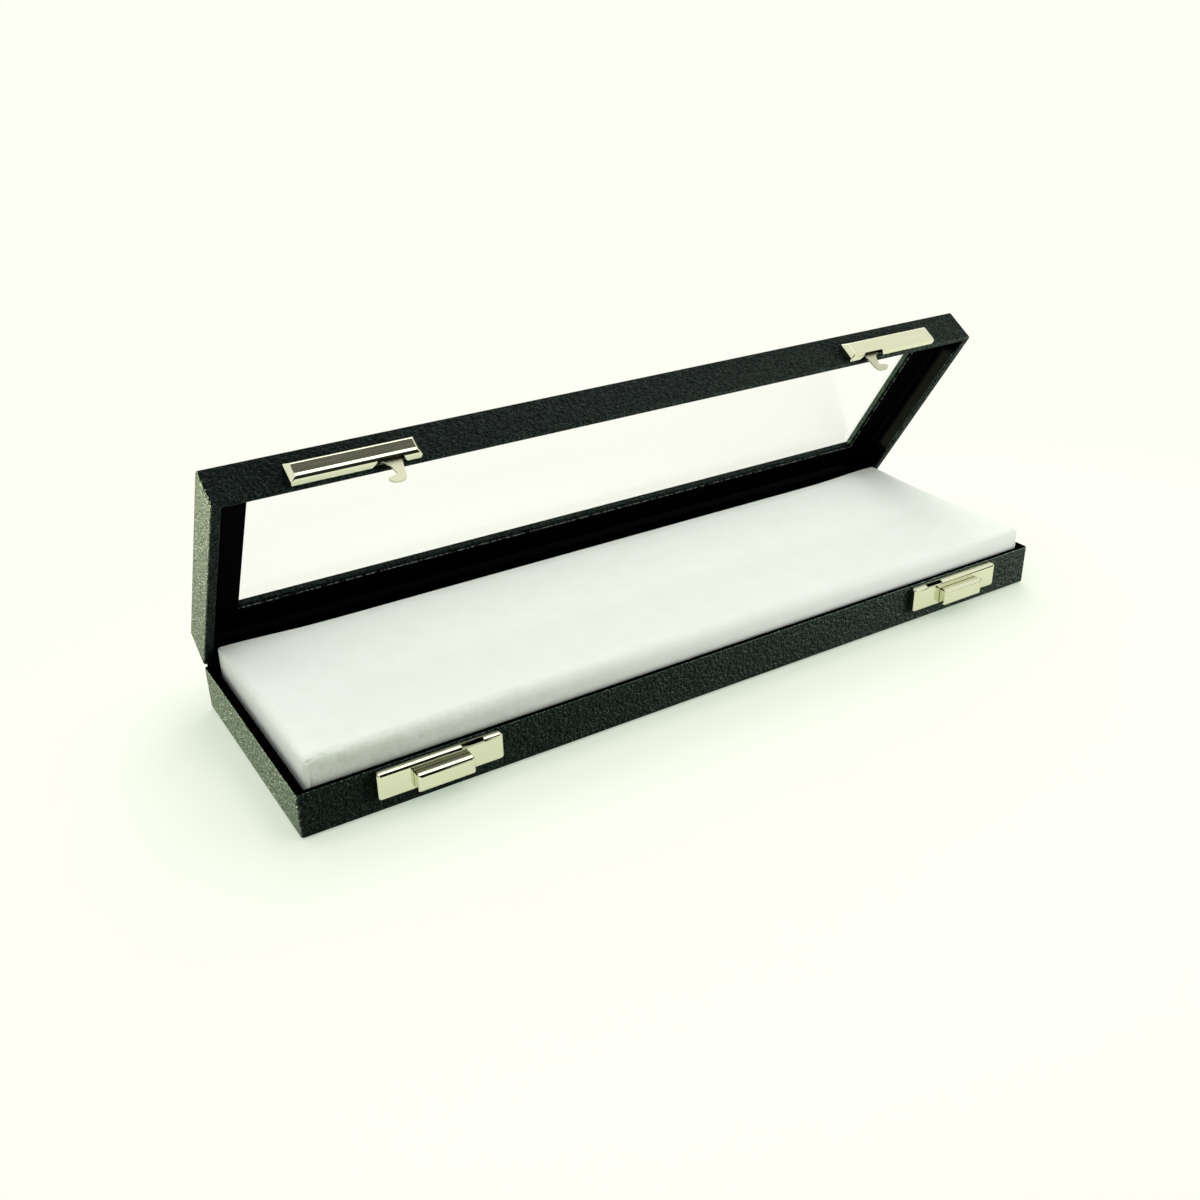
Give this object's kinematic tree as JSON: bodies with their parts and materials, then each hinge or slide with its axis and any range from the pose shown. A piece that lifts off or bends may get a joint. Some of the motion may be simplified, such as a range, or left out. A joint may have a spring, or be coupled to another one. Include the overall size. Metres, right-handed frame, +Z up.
{
  "type": "gemstone display box",
  "caption": "Long low hinged display case in black leatherette with a glazed lid, a white padded insert and sliding hook latches.",
  "frame": {"origin": "centre of the flat underside, where the box rests on a table", "axes": "+X along the box's length, +Y from the front with the latches to the hinge, +Z up"},
  "size_m": [0.25, 0.0871, 0.0811],
  "materials": {
    "leatherette": "fine pebble grain, semi-matt black",
    "board": "plain board, hidden",
    "lining": "matt black paper lining",
    "white_fabric": "smooth white fabric",
    "foam": "soft filling, hidden",
    "clear_glass": "clear sheet glass",
    "plated_metal": "bright nickel plate"
  },
  "bodies": {
    "base": {"base_cover": "leatherette", "base_underside_sheet": "lining", "base_bottom_board": "board", "base_front_wall": "board", "base_back_wall": "board", "base_left_wall": "board", "base_right_wall": "board", "base_floor_lining": "lining", "pad_cover": "white_fabric", "pad_foam": "foam", "pad_board": "board", "hinge_fold": "leatherette", "hinge_lining": "lining", "latch_case_left": "plated_metal", "latch_back_plate_left": "plated_metal", "latch_spring_left": "plated_metal", "latch_pin_left_1": "plated_metal", "latch_pin_left_2": "plated_metal", "latch_case_right": "plated_metal", "latch_back_plate_right": "plated_metal", "latch_spring_right": "plated_metal", "latch_pin_right_1": "plated_metal", "latch_pin_right_2": "plated_metal"},
    "lid": {"lid_cover": "leatherette", "lid_front_wall": "board", "lid_back_wall": "board", "lid_left_wall": "board", "lid_right_wall": "board", "lid_window_board": "board", "lid_glass": "clear_glass", "lid_inner_frame": "lining", "hook_cover_left": "plated_metal", "hook_plate_left": "plated_metal", "hook_pin_left_1": "plated_metal", "hook_pin_left_2": "plated_metal", "hook_cover_right": "plated_metal", "hook_plate_right": "plated_metal", "hook_pin_right_1": "plated_metal", "hook_pin_right_2": "plated_metal"},
    "slider_left": {"latch_slider_left": "plated_metal"},
    "slider_right": {"latch_slider_right": "plated_metal"}
  },
  "joints": [
    {"name": "lid_hinge", "type": "hinge", "parent": "base", "child": "lid", "pos_m": [0, 0.0366, 0.01335], "axis": [-1, 0, 0], "range_deg": [-57.6, 52.4], "deforming": ["hinge_fold", "hinge_lining"]},
    {"name": "latch_slide_left", "type": "slide", "parent": "base", "child": "slider_left", "axis": [-1, 0, 0], "range_m": [0, 0.0025], "stiffness_N_per_m": 250, "springref_m": -0.0015, "deforming": ["latch_spring_left"]},
    {"name": "latch_slide_right", "type": "slide", "parent": "base", "child": "slider_right", "axis": [1, 0, 0], "range_m": [-0.0015, 0.001], "stiffness_N_per_m": 250, "springref_m": -0.003, "deforming": ["latch_spring_right"]}
  ]
}
